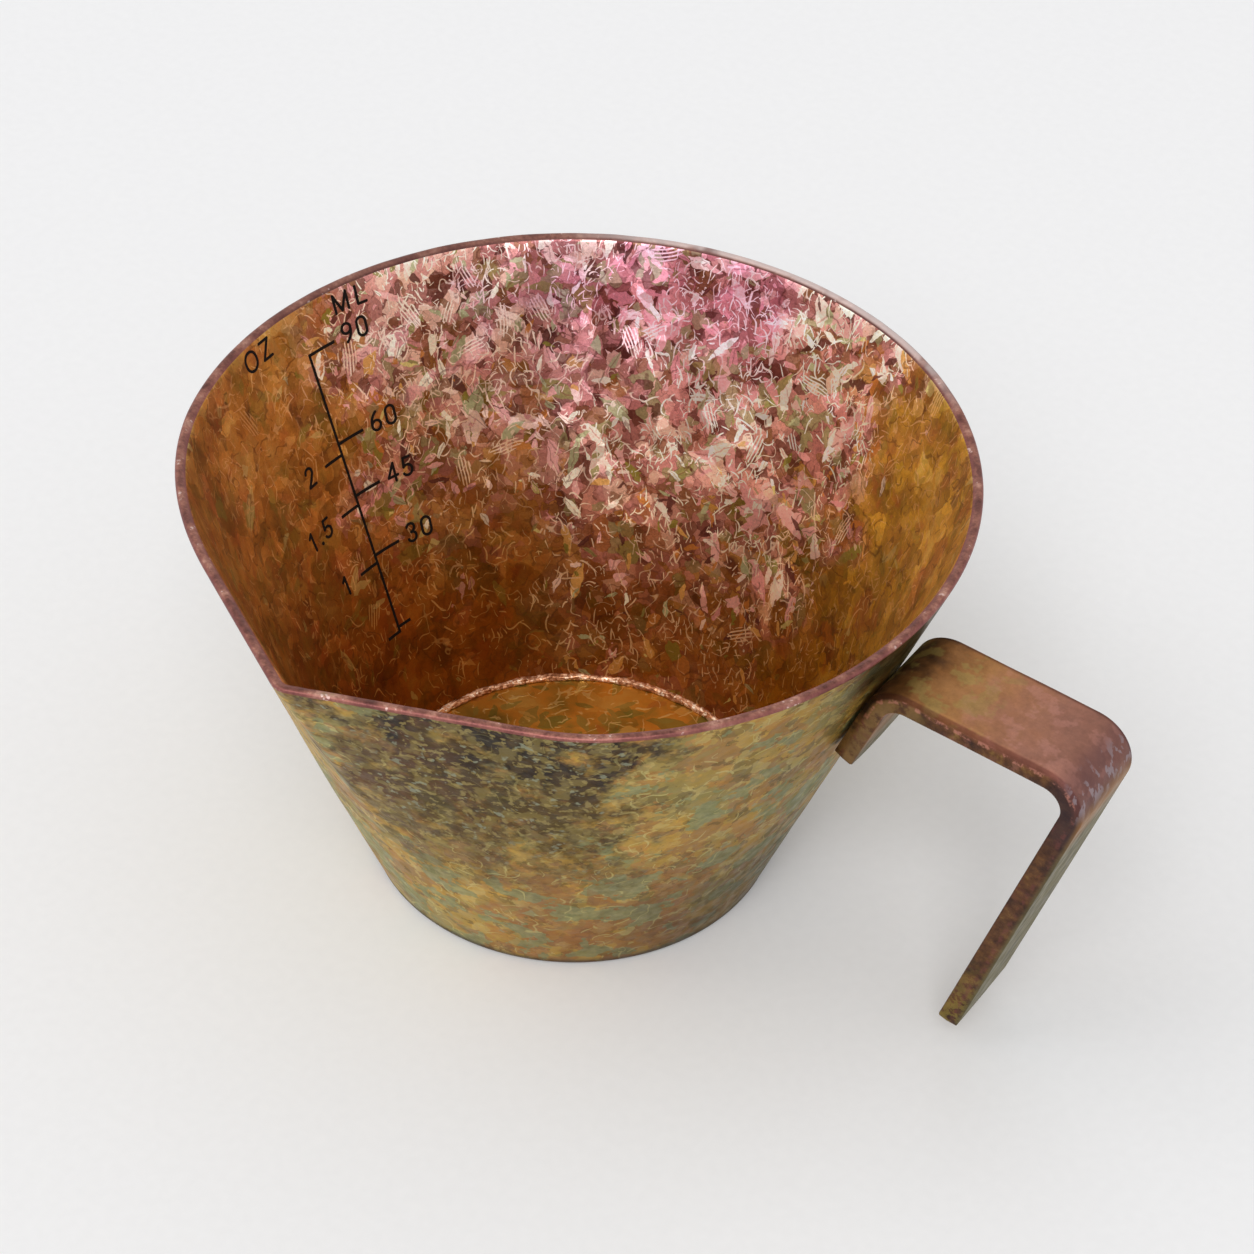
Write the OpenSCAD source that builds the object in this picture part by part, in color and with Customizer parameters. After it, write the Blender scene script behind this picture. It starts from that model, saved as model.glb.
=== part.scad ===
// Bar jigger: a flared copper measuring cup with a pouring beak and a bent strap handle.
// The cup's axis is Z, its base stands on z = 0, and the handle points along +X.

/* [Cup] */
// Outer diameter of the rim
rim_d = 74; // [68:1:82]
// Height of the cup
cup_h = 45; // [40:1:52]
// Outer diameter of the base
base_d = 40; // [36:1:46]
// Thickness of the wall sheet
wall_t = 1; // [0.8:0.1:1.4]
// Thickness of the base disc
floor_t = 1.2; // [0.8:0.1:2]
// Size of the braze bead in the corner between the wall and the base disc
bead_r = 0.8; // [0.5:0.1:1.2]

/* [Beak] */
// Angle from the handle round to the beak, clockwise seen from above
beak_angle = 94.4; // [80:0.2:110]
// How far the beak's corner would stand outside the rim circle if it were sharp
beak_reach = 3.2; // [2:0.1:4]
// Angle between the two straight sides of the beak
beak_open = 128.4; // [126:0.2:136]
// Outer radius of the beak's corner
beak_corner_r = 2; // [1.8:0.1:3]
// How far below the rim the beak fades into the round wall
beak_depth = 30; // [20:1:34]
// Angle from the beak to where the wall is round again, on the side away from the handle
ease_far = 64; // [44:1:76]
// Angle from the beak to where the wall is round again, on the handle's side
ease_near = 43; // [40:1:76]

/* [Handle] */
// Width of the strap
strap_w = 9.5; // [8:0.5:12]
// Thickness of the strap
strap_t = 2; // [1.5:0.1:2.4]
// Length of the tab that lies on the wall, up to the sharp corner of its centre line
tab_len = 11.1; // [8:0.1:13]
// Drop from the rim to the arm's centre line at the cup
arm_below_rim = 6.2; // [5:0.1:9]
// How much the arm falls away from the cup to its outer corner
arm_fall = 1.1; // [0:0.1:3]
// Reach of the outer corner of the centre line, past the rim
arm_reach = 18.7; // [16:0.1:26]
// Lean of the leg from upright, back towards the cup
leg_lean = 16.4; // [8:0.1:20]
// Height of the leg's free end above the table
leg_clear = 3.1; // [2:0.1:8]
// Inner radius of the bend next to the cup
tab_bend_r = 2.2; // [2:0.1:3.5]
// Inner radius of the bend at the outer corner
leg_bend_r = 2; // [1.5:0.1:3.5]
// How far the middle of the tab's end stands past its corners
tab_bow = 1.1; // [0.2:0.1:1.2]
// How far the middle of the leg's end stands past its corners
leg_bow = 0.3; // [0.2:0.1:1.2]
// Radius of the spot welds that hold the tab to the wall
weld_r = 1.3; // [0.8:0.1:1.6]

/* [Measuring scale] */
// Angle from the handle round to the scale line, anticlockwise seen from above
scale_angle = 174.7; // [150:0.1:200]
// Volumes of the marks on the millilitre side; the last one is a short tick without a figure
ml_marks = [90, 60, 45, 30, 15];
// Volumes of the marks on the fluid ounce side; the last one is a short tick without a figure
oz_marks = [2, 1.5, 1, 0.5];
// Millilitres in one fluid ounce
ml_per_oz = 28.41; // [28.41:imperial, 29.57:US]
// Height of the figures and letters
figure_h = 2.1; // [1.6:0.1:2.2]
// Width of every printed stroke
stroke_w = 0.28; // [0.2:0.02:0.3]

/* [Hidden] */
$fn = 120;
rim_r = rim_d / 2;
base_r = base_d / 2;
flare = (rim_r - base_r) / cup_h;
flare_deg = atan(flare);
wall_h = wall_t / cos(flare_deg);
lip_r = wall_t / 2;
// Clearance between the base disc's edge and the wall, and gap under the middle of the flat tab
edge_fit = 0.02;
tab_gap = 0.1;

// Outer and inner radius of the round wall at height z
function outer_r(z) = base_r + flare * z;
function inner_r(z) = outer_r(z) - wall_h;

// The beak in plan: two straight sides that meet at a rounded corner, then an ease into the circle.
flank_a = 90 - beak_open / 2;
flank_d = (rim_r + beak_reach) * cos(flank_a);
corner_d = (flank_d - beak_corner_r) / cos(flank_a);
function smooth(t) = t * t * (3 - 2 * t);
function corner_line(a, inset) =
    corner_d * cos(a) + sqrt(pow(beak_corner_r - inset, 2) - pow(corner_d * sin(a), 2));
function flank_line(a, inset) = (flank_d - inset) / cos(flank_a - a);
function ease_line(a, inset, ease) =
    flank_d - inset + (rim_r - flank_d) * smooth(min(1, (a - flank_a) / (ease - flank_a)));
// Radius of the rim's outline, moved in by inset, at angle a from the beak
function plan_r(a, inset) =
    let (turn = abs(a), ease = a > 0 ? ease_near : ease_far)
    inset_corner(turn, inset) ? corner_line(turn, inset)
    : turn <= flank_a ? flank_line(turn, inset)
    : ease_line(turn, inset, ease);
function inset_corner(a, inset) =
    a < atan2((beak_corner_r - inset) * sin(flank_a), corner_d + (beak_corner_r - inset) * cos(flank_a));

// The beak's depth in the wall grows from nothing at fade_z to all of it at the rim.
fade_z = cup_h - beak_depth;
fade_power = 1.1;
function fade(z) = z <= fade_z ? 0 : pow(min(1, (z - fade_z) / beak_depth), fade_power);
function wall_r(a, z, inset) =
    outer_r(z) - inset + fade(z) * (plan_r(a, inset) - (rim_r - inset));

// Points round the cup lie close together at the beak's corner and wider apart behind it.
half_turns = 76;
function spread(u) = 180 * sign(u) * pow(abs(u), 1.5);
turns = [for (i = [1 - half_turns : half_turns]) spread(i / half_turns)];
wall_rows = 6;
lip_rows = 6;
straight_z = cup_h - lip_r;
rise = [0, each [for (i = [0 : wall_rows]) fade_z + (straight_z - fade_z) * i / wall_rows]];
// The wall's cross-section as pairs of inset and height: up the outside, over the lip, down the inside
section = concat(
    [for (z = rise) [0, z]],
    [for (i = [1 : lip_rows - 1])
        [wall_h * (1 - cos(180 * i / lip_rows)) / 2, straight_z + lip_r * sin(180 * i / lip_rows)]],
    [for (z = reversed(rise)) [wall_h, z]]);

module cup_wall() {
    rows = len(section);
    cols = len(turns);
    points = [for (s = section) for (a = turns)
        let (r = wall_r(a, s[1], s[0]), dir = a - beak_angle)
        [r * cos(dir), r * sin(dir), s[1]]];
    faces = [for (j = [0 : rows - 1]) for (i = [0 : cols - 1]) each
        let (up = (j + 1) % rows, on = (i + 1) % cols,
             p = j * cols + i, q = j * cols + on, r = up * cols + on, s = up * cols + i)
        [[p, s, q], [q, s, r]]];
    color("peru") polyhedron(points, faces);
}

module base_disc() {
    color("darkgoldenrod")
        cylinder(h = floor_t, r1 = inner_r(0) - edge_fit, r2 = inner_r(floor_t) - edge_fit);
}

// The bead fills the corner with a quarter-round that follows the wall's slope.
module base_bead() {
    corner_r = inner_r(floor_t) - edge_fit;
    color("lightpink") rotate_extrude() intersection() {
        translate([corner_r, floor_t]) circle(bead_r, $fn = 48);
        polygon([
            [corner_r, floor_t],
            [corner_r + 2 * bead_r * flare, floor_t + 2 * bead_r],
            [corner_r - 2 * bead_r, floor_t + 2 * bead_r],
            [corner_r - 2 * bead_r, floor_t]]);
    }
}

// The strap's centre line in the XZ plane: tab foot, cup-side corner, outer corner, free end.
strap_out = (tab_gap + strap_t / 2) / cos(flare_deg);
function wall_side(z) = [outer_r(z) + strap_out, z];
corner_in = wall_side(cup_h - arm_below_rim);
tab_foot = wall_side(corner_in[1] - tab_len * cos(flare_deg));
corner_out = [rim_r + arm_reach, corner_in[1] - arm_fall];
leg_end = [corner_out[0] - (corner_out[1] - leg_clear) * tan(leg_lean), leg_clear];
bend_steps = 12;

function heading(p, q) = atan2(q[1] - p[1], q[0] - p[0]);
function ray(deg) = [cos(deg), sin(deg)];
function set_back(p, q, s, r) = r * tan((heading(p, q) - heading(q, s)) / 2);

// Points along a clockwise bend at q, between the runs p-q and q-s, at a radius from the bend's centre
function bend_arc(p, q, s, inner, radius) =
    let (from = heading(p, q) + 90, to = heading(q, s) + 90,
         centre = q - (inner + strap_t / 2) / cos((from - to) / 2) * ray((from + to) / 2))
    [for (i = [0 : bend_steps]) centre + radius * ray(from + (to - from) * i / bend_steps)];
function side_of(p, q, at, offset) = at + offset * ray(heading(p, q) + 90);

// One side of the strap seen edge on: the long way round is strap_t further from each bend's centre.
function strap_side(extra) = concat(
    [side_of(tab_foot, corner_in, tab_foot, extra - strap_t / 2)],
    bend_arc(tab_foot, corner_in, corner_out, tab_bend_r, tab_bend_r + extra),
    bend_arc(corner_in, corner_out, leg_end, leg_bend_r, leg_bend_r + extra),
    [side_of(corner_out, leg_end, leg_end, extra - strap_t / 2)]);
function reversed(list) = [for (i = [len(list) - 1 : -1 : 0]) list[i]];

// Takes the corners off the end of a run that heads from p to its end at q
module bowed_end(p, q, bow) {
    end_r = (pow(strap_w / 2, 2) + bow * bow) / (2 * bow);
    translate([q[0], 0, q[1]]) rotate([0, -heading(p, q), 0]) difference() {
        translate([-2 * bow, -strap_w, -strap_t]) cube([4 * bow, 2 * strap_w, 2 * strap_t]);
        translate([-end_r, 0, -1.5 * strap_t]) cylinder(h = 3 * strap_t, r = end_r);
    }
}

module handle() {
    color("rosybrown") difference() {
        rotate([90, 0, 0]) linear_extrude(strap_w, center = true)
            polygon(concat(strap_side(strap_t), reversed(strap_side(0))));
        bowed_end(corner_in, tab_foot, tab_bow);
        bowed_end(corner_out, leg_end, leg_bow);
    }
}

// Two weld nuggets between the flat tab and the round wall, sunk a little into the wall
module spot_welds() {
    weld_key = 0.06;
    tab_dir = ray(heading(tab_foot, corner_in));
    flat_len = tab_len - set_back(tab_foot, corner_in, corner_out, tab_bend_r + strap_t / 2);
    color("saddlebrown") for (place = [0.28, 0.72]) {
        centre = tab_foot + place * flat_len * tab_dir;
        translate([centre[0], 0, centre[1]]) rotate([0, 90 + flare_deg, 0])
            translate([0, 0, -strap_t / 2 - tab_gap - weld_key]) cylinder(h = tab_gap + weld_key, r = weld_r);
    }
}

// Height above the table at which the cup holds a volume in millilitres
function fill_z(ml) =
    let (r = inner_r(floor_t))
    floor_t + (pow(pow(r, 3) + 3 * flare * ml * 1000 / PI, 1 / 3) - r) / flare;

// The print is a thin coat, keyed a little way into the wall.
print_proud = 0.05;
print_key = 0.02;
ml_tick = 3.3;
oz_tick = 2.5;
end_tick = 1.7;
figure_pitch = 0.85 * figure_h;
// The figures stand a little above the middle of their ticks.
figure_lift = 0.09 * figure_h;
letter_pitch = 1.12 * figure_h;
letter_z = cup_h - 0.78 * figure_h;
// Marks that a smaller cup can't hold under the letters are left out.
mark_limit = letter_z - 1.1 * figure_h;
function fits(ml) = fill_z(ml) <= mark_limit;
ml_shown = [for (v = ml_marks) if (fits(v)) v];
oz_shown = [for (v = oz_marks) if (fits(v * ml_per_oz)) v];
function last(marks) = marks[len(marks) - 1];
function numbered(marks) = [for (v = marks) if (v != last(marks)) v];
scale_top = fill_z(ml_shown[0]) + stroke_w / 2;
scale_foot = fill_z(last(oz_shown) * ml_per_oz) - stroke_w / 2;

// The coat's cross-section between two heights
module coat(z0, z1) {
    polygon([
        [inner_r(z0) + print_key, z0],
        [inner_r(z1) + print_key, z1],
        [inner_r(z1) - print_proud, z1],
        [inner_r(z0) - print_proud, z0]]);
}

module scale_line() {
    color("black") rotate(scale_angle) intersection() {
        rotate_extrude() coat(scale_foot, scale_top);
        translate([0, -stroke_w / 2, 0]) cube([rim_r, stroke_w, cup_h]);
    }
}

// A level tick at height z, a length of arc to one side of the line: 1 anticlockwise, -1 clockwise
module tick(z, length, side) {
    line_edge = asin(stroke_w / 2 / inner_r(z));
    turn = length / inner_r(z) * 180 / PI - line_edge;
    rotate(scale_angle + (side > 0 ? line_edge : -line_edge - turn))
        rotate_extrude(angle = turn) coat(z - stroke_w / 2, z + stroke_w / 2);
}

module ml_ticks() {
    color("black") {
        for (v = numbered(ml_shown)) tick(fill_z(v), ml_tick, -1);
        tick(fill_z(last(ml_shown)), end_tick, -1);
    }
}

module oz_ticks() {
    color("black") {
        for (v = numbered(oz_shown)) tick(fill_z(v * ml_per_oz), oz_tick, 1);
        tick(fill_z(last(oz_shown) * ml_per_oz), end_tick, 1);
    }
}

// Strokes of the figures; their points are fractions of the figure's height.
module bar(from, to) {
    a = from * figure_h;
    b = to * figure_h;
    translate(a) rotate(heading(a, b)) translate([0, -stroke_w / 2]) square([norm(b - a), stroke_w]);
    translate(a) circle(d = stroke_w, $fn = 24);
    translate(b) circle(d = stroke_w, $fn = 24);
}

module arc(centre, radius, from, to) {
    r = radius * figure_h;
    c = centre * figure_h;
    reach = 3 * r;
    steps = 4;
    translate(c) intersection() {
        difference() {
            circle(r + stroke_w / 2, $fn = 48);
            circle(r - stroke_w / 2, $fn = 48);
        }
        polygon([[0, 0], each [for (i = [0 : steps]) reach * ray(from + (to - from) * i / steps)]]);
    }
    for (end = [from, to]) translate(c + r * ray(end)) circle(d = stroke_w, $fn = 24);
}

module round_figure(radius, rise_by) {
    top = [0, 0.5 - radius - 0.05];
    arc(top + [0, rise_by], radius, 0, 180);
    arc(-top - [0, rise_by], radius, 180, 360);
    bar([radius, top[1] + rise_by], [radius, -top[1] - rise_by]);
    bar([-radius, top[1] + rise_by], [-radius, -top[1] - rise_by]);
}

module six() {
    difference() {
        translate([0, -0.21 * figure_h]) circle(0.24 * figure_h + stroke_w / 2, $fn = 48);
        translate([0, -0.21 * figure_h]) circle(0.24 * figure_h - stroke_w / 2, $fn = 48);
    }
    arc([0.47, -0.16], 0.71, 122, 180);
}

// One character, centred on the origin
module glyph(c) {
    if (c == "0") round_figure(0.24, 0);
    if (c == "1") {
        bar([0.04, -0.45], [0.04, 0.45]);
        bar([0.04, 0.45], [-0.16, 0.27]);
    }
    if (c == "2") {
        arc([0, 0.22], 0.23, -35, 170);
        bar([0.19, 0.09], [-0.23, -0.45]);
        bar([-0.23, -0.45], [0.25, -0.45]);
    }
    if (c == "3") {
        arc([-0.02, 0.235], 0.215, -90, 155);
        arc([-0.02, -0.215], 0.235, -160, 90);
    }
    if (c == "4") {
        bar([0.12, 0.45], [-0.27, -0.2]);
        bar([-0.27, -0.2], [0.27, -0.2]);
        bar([0.12, 0.45], [0.12, -0.45]);
    }
    if (c == "5") {
        bar([0.2, 0.45], [-0.15, 0.45]);
        bar([-0.15, 0.45], [-0.2, 0]);
        arc([-0.02, -0.18], 0.26, -150, 135);
    }
    if (c == "6") six();
    if (c == "9") rotate(180) six();
    if (c == ".") translate([0, -0.45 * figure_h]) circle(d = 1.3 * stroke_w, $fn = 24);
    if (c == "M") {
        bar([-0.37, -0.43], [-0.37, 0.43]);
        bar([-0.37, 0.43], [0, -0.4]);
        bar([0, -0.4], [0.37, 0.43]);
        bar([0.37, 0.43], [0.37, -0.43]);
    }
    if (c == "L") {
        bar([-0.22, 0.43], [-0.22, -0.43]);
        bar([-0.22, -0.43], [0.24, -0.43]);
    }
    if (c == "O") round_figure(0.4, 0.01);
    if (c == "Z") {
        bar([-0.3, 0.43], [0.3, 0.43]);
        bar([0.3, 0.43], [-0.3, -0.43]);
        bar([-0.3, -0.43], [0.3, -0.43]);
    }
}

// Sets a flat character on the wall, at an arc distance from the scale line to the reader's right
module printed(c, along, z) {
    rotate(scale_angle - along / inner_r(z) * 180 / PI)
        translate([inner_r(z), 0, z])
            rotate([0, flare_deg, 0]) rotate([90, 0, -90])
                translate([0, 0, -print_key]) linear_extrude(print_key + print_proud) glyph(c);
}

// A row of characters whose middles stand one pitch apart, the first at an arc distance from the line
module word(letters, first, pitch, z) {
    for (i = [0 : len(letters) - 1]) printed(letters[i], first + i * pitch, z);
}

module ml_figures() {
    first = ml_tick + 0.8 * figure_h;
    color("black") for (v = numbered(ml_shown)) word(str(v), first, figure_pitch, fill_z(v) + figure_lift);
}

module oz_figures() {
    nearest = oz_tick + 1.1 * figure_h;
    pitch = 0.62 * figure_h;
    color("black") for (v = numbered(oz_shown)) {
        letters = str(v);
        z = fill_z(v * ml_per_oz) + figure_lift;
        word(letters, -nearest - (len(letters) - 1) * pitch, pitch, z);
    }
}

module unit_letters() {
    color("black") {
        word("ML", ml_tick + 0.97 * figure_h, letter_pitch, letter_z);
        word("OZ", -oz_tick - 2.3 * figure_h, letter_pitch, letter_z);
    }
}

cup_wall();
base_disc();
base_bead();
handle();
spot_welds();
scale_line();
ml_ticks();
oz_ticks();
ml_figures();
oz_figures();
unit_letters();
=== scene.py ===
"""Bar jigger: a flared copper cup with a pouring beak, a strap handle and a printed scale."""

import math

import bmesh
import bpy
from mathutils import Matrix, Vector, noise


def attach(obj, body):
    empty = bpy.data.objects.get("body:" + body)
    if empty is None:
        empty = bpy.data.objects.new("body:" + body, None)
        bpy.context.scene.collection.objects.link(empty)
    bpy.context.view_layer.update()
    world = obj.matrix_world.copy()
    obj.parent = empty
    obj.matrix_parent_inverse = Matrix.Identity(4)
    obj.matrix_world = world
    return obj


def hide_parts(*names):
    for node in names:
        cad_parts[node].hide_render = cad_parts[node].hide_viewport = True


MM = 0.001

# The cup, in millimetres, as the CAD source has it
RIM_R = 37.0
BASE_R = 20.0
CUP_H = 45.0
WALL_T = 1.0
FLOOR_T = 1.2
BEAD_R = 0.8
FLARE = (RIM_R - BASE_R) / CUP_H
WALL_H = WALL_T / math.cos(math.atan(FLARE))
LIP_R = WALL_T / 2
STRAIGHT_Z = CUP_H - LIP_R
EDGE_FIT = 0.02

# The beak
BEAK_AZ = -94.4
BEAK_REACH = 3.2
BEAK_OPEN = 128.4
BEAK_CORNER_R = 2.0
BEAK_DEPTH = 30.0
EASE_FAR = math.radians(64)
EASE_NEAR = math.radians(43)
FADE_POWER = 1.1
FADE_Z = CUP_H - BEAK_DEPTH
FLANK_A = math.radians(90 - BEAK_OPEN / 2)
FLANK_D = (RIM_R + BEAK_REACH) * math.cos(FLANK_A)
CORNER_D = (FLANK_D - BEAK_CORNER_R) / math.cos(FLANK_A)

# The strap
STRAP_W = 9.5
STRAP_T = 2.0
TAB_GAP = 0.1
TAB_LEN = 11.1
ARM_BELOW_RIM = 6.2
ARM_FALL = 1.1
ARM_REACH = 18.7
LEG_LEAN = math.radians(16.4)
LEG_CLEAR = 3.1
TAB_BEND_R = 2.2
LEG_BEND_R = 2.0
TAB_BOW = 1.1
LEG_BOW = 0.3


def smooth(t):
    t = min(1.0, max(0.0, t))
    return t * t * (3 - 2 * t)


# ---- the cup's shape ----


def outer_r(z):
    return BASE_R + FLARE * z


def plan_r(turn, inset):
    """Radius of the rim's outline, moved in by inset, at an angle from the beak in radians."""
    a = abs(turn)
    ease = EASE_NEAR if turn > 0 else EASE_FAR
    r = BEAK_CORNER_R - inset
    if a < math.atan2(r * math.sin(FLANK_A), CORNER_D + r * math.cos(FLANK_A)):
        return CORNER_D * math.cos(a) + math.sqrt(r * r - (CORNER_D * math.sin(a)) ** 2)
    if a <= FLANK_A:
        return (FLANK_D - inset) / math.cos(FLANK_A - a)
    return FLANK_D - inset + (RIM_R - FLANK_D) * smooth((a - FLANK_A) / (ease - FLANK_A))


def wall_r(turn, z, inset):
    fade = min(1.0, max(0.0, (z - FADE_Z) / BEAK_DEPTH)) ** FADE_POWER
    return outer_r(z) - inset + fade * (plan_r(turn, inset) - (RIM_R - inset))


def relief(p, size, seed):
    """A smooth random value from 0 to 1 at a point in millimetres."""
    v = noise.noise(Vector((p[0] / size + seed, p[1] / size - seed, p[2] / size)))
    return min(1.0, max(0.0, 0.5 + 0.7 * v))


def spread(u):
    """Columns lie close together at the beak's corner and wider apart behind it."""
    return math.pi * math.copysign(abs(u) ** 1.4, u)


COLUMNS = 480
FOOT_ROUND = 0.3
# Depth and size of the shallow dents outside, and how far below the lip they fade
DENT = 0.05
DENT_SIZE = 4.5
DENT_FADE = 2.0
# Depth and size of the lip's unevenness
LIP_WEAR = 0.05
LIP_WEAR_SIZE = 2.5
# The source's facets lie a hair inside the true curve
PULL_IN = 0.012
# How much of the way over the lip its own finish reaches
LIP_SHARE = 0.8
# The wall's three finishes, in the order of its material slots
OUTSIDE, LIP, INSIDE = range(3)


def ring_faces(rings, count, closed=False):
    """Quads between rings of count points each; closed also joins the last ring to the first."""
    faces = []
    for j in range(rings if closed else rings - 1):
        up = (j + 1) % rings
        for i in range(count):
            on = (i + 1) % count
            faces.append((j * count + i, j * count + on, up * count + on, up * count + i))
    return faces


def wall_section():
    """Inset, height and material of each row: up the outside, over the lip, down the inside."""
    rows = [(WALL_H, 0.0, OUTSIDE), (FOOT_ROUND, 0.0, OUTSIDE)]
    rows += [(FOOT_ROUND * 0.3, FOOT_ROUND * 0.25, OUTSIDE), (0.0, FOOT_ROUND * 0.9, OUTSIDE)]
    steps = 44
    low = 2 * FOOT_ROUND
    rows += [(0.0, low + (STRAIGHT_Z - low) * i / steps, OUTSIDE) for i in range(steps + 1)]
    lips = 14
    for i in range(1, lips):
        t = math.pi * i / lips
        part = LIP if i < lips * LIP_SHARE else INSIDE
        rows.append((WALL_H * (1 - math.cos(t)) / 2, STRAIGHT_Z + LIP_R * math.sin(t), part))
    rows += [(WALL_H, STRAIGHT_Z * (1 - i / steps), INSIDE) for i in range(steps)]
    return rows


def cup_wall():
    """The wall as one closed sheet, with shallow dents outside and a slightly uneven lip."""
    rows = wall_section()
    turns = [spread(2 * (i + 1) / COLUMNS - 1) for i in range(COLUMNS)]
    beak = math.radians(BEAK_AZ)
    verts = []
    for inset, z, part in rows:
        for turn in turns:
            r = wall_r(turn, z, inset) - PULL_IN
            p = (r * math.cos(turn + beak), r * math.sin(turn + beak), z)
            if part == OUTSIDE and z > FOOT_ROUND:
                r -= DENT * relief(p, DENT_SIZE, 3.1) * smooth((STRAIGHT_Z - z) / DENT_FADE)
            drop = LIP_WEAR * relief(p, LIP_WEAR_SIZE, 7.7) if z > STRAIGHT_Z else 0
            verts.append((r * math.cos(turn + beak), r * math.sin(turn + beak), z - drop))
    # The band from the last row back to the first, under the foot, is part of the outside
    parts = [part for inset, z, part in rows[:-1]] + [OUTSIDE]
    mats = [part for part in parts for i in range(COLUMNS)]
    return mesh_piece("jigger_cup_wall", verts, ring_faces(len(rows), COLUMNS, True), mats)


RIPPLE = 0.08
RIPPLE_SIZE = 3.0


def base_plate():
    """The base disc, with shallow ripples left by the flame on its upper face."""
    rings = 26
    cols = 160
    edge = 0.15
    top_r = outer_r(FLOOR_T) - WALL_H - EDGE_FIT
    low_r = outer_r(0) - WALL_H - EDGE_FIT
    loops = [(low_r * i / 8, 0.0) for i in range(1, 8)] + [(low_r - edge, 0.0), (low_r, edge)]
    loops += [(top_r, FLOOR_T - edge)]
    loops += [((top_r - edge) * (rings - i) / rings, FLOOR_T) for i in range(rings)]
    verts = []
    for r, z in loops:
        for i in range(cols):
            t = 2 * math.pi * i / cols
            p = (r * math.cos(t), r * math.sin(t), z)
            drop = RIPPLE * relief(p, RIPPLE_SIZE, 1.7) if z == FLOOR_T else 0
            verts.append((p[0], p[1], z - drop))
    faces = ring_faces(len(loops), cols)
    last = (len(loops) - 1) * cols
    verts += [(0, 0, 0), (0, 0, FLOOR_T - RIPPLE / 2)]
    faces += [((i + 1) % cols, i, len(verts) - 2) for i in range(cols)]
    faces += [(last + i, last + (i + 1) % cols, len(verts) - 1) for i in range(cols)]
    return mesh_piece("jigger_base_plate", verts, faces)


# The bead's least size as a share of BEAD_R, and what its lumps and its grains add
BEAD_LEAST = 0.28
BEAD_LUMPS = 0.3
BEAD_GRAINS = 0.25


def base_bead():
    """The braze bead in the corner of wall and base: a lumpy quarter-round."""
    cols = 480
    steps = 12
    corner_r = outer_r(FLOOR_T) - WALL_H - EDGE_FIT
    slope = math.atan(FLARE)
    verts = []
    for i in range(cols):
        t = 2 * math.pi * i / cols
        out = Vector((math.cos(t), math.sin(t), 0))
        corner = out * corner_r + Vector((0, 0, FLOOR_T))
        for j in range(steps + 1):
            a = math.pi - (math.pi / 2 + slope) * j / steps
            ray = math.cos(a) * out + math.sin(a) * Vector((0, 0, 1))
            where = corner + BEAD_R * ray
            lumps = BEAD_LUMPS * relief(where, 2.2, 5.3)
            share = BEAD_LEAST + lumps + BEAD_GRAINS * relief(where, 0.45, 9.1)
            verts.append(corner + BEAD_R * share * ray)
        verts.append(corner)
    return mesh_piece("jigger_base_bead", verts, ring_faces(cols, steps + 2, True))


# ---- the strap's shape ----


def strap_corners():
    """Tab foot, cup-side corner, outer corner and free end of the centre line, in XZ."""
    out = (TAB_GAP + STRAP_T / 2) / math.cos(math.atan(FLARE))
    z_in = CUP_H - ARM_BELOW_RIM
    z_foot = z_in - TAB_LEN * math.cos(math.atan(FLARE))
    z_out = z_in - ARM_FALL
    x_out = RIM_R + ARM_REACH
    return [Vector((outer_r(z_foot) + out, z_foot)), Vector((outer_r(z_in) + out, z_in)),
            Vector((x_out, z_out)),
            Vector((x_out - (z_out - LEG_CLEAR) * math.tan(LEG_LEAN), LEG_CLEAR))]


def strap_line(step):
    """Points and headings along the centre line, about a step apart, with the two bends."""
    foot, first, second, end = strap_corners()
    line = []

    def heading(a, b):
        return math.atan2(b[1] - a[1], b[0] - a[0])

    def run(a, b, h):
        count = max(1, round((b - a).length / step))
        line.extend((a + (b - a) * i / count, h) for i in range(count))

    start = foot
    bends = ((foot, first, second, TAB_BEND_R), (first, second, end, LEG_BEND_R))
    for before, at, after, inner in bends:
        h0, h1 = heading(before, at), heading(at, after)
        r = inner + STRAP_T / 2
        back = r * math.tan((h0 - h1) / 2)
        ray = Vector((math.cos(h0), math.sin(h0)))
        run(start, at - back * ray, h0)
        mid = (h0 + h1) / 2
        centre = at - r / math.cos((h0 - h1) / 2) * Vector((-math.sin(mid), math.cos(mid)))
        count = 26
        for i in range(count):
            h = h0 + (h1 - h0) * i / count
            line.append((centre + r * Vector((-math.sin(h), math.cos(h))), h))
        start = at + back * Vector((math.cos(h1), math.sin(h1)))
    run(start, end, heading(second, end))
    line.append((end, heading(second, end)))
    return line


EDGE_ROUND = 0.2
# Quads across the strap's faces, and millimetres between its rings
ACROSS = 20
RING_STEP = 0.55
# The ends' own rings reach this far from an end, and its corners are rounded by END_ROUND
END_REACH = 2.2
END_ROUND = 0.3
END_STEPS = (0.7, 1.2, 1.7)
# The share of its width that the strap's edges are worn by
EDGE_WEAR = 0.012


def strap_outline():
    """The strap's cross-section as points (across, outward), starting along the outer face."""
    a, b, c = STRAP_W / 2, STRAP_T / 2, EDGE_ROUND
    face = [(-(a - c) + 2 * (a - c) * i / ACROSS, b) for i in range(ACROSS + 1)]
    turn = [(a - c + c * math.sin(t), b - c + c * math.cos(t))
            for t in (math.pi / 2 * i / 5 for i in range(1, 6))]
    side = [(a, (b - c) * (1 - i / 2)) for i in range(1, 3)]
    quarter = face + turn + side
    return quarter + [(-u, -v) for u, v in quarter]


def bow_back(u, bow):
    """How far the end at u across the width stands behind the middle of the end."""
    r = ((STRAP_W / 2) ** 2 + bow * bow) / (2 * bow)
    return r - math.sqrt(r * r - u * u)


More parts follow.
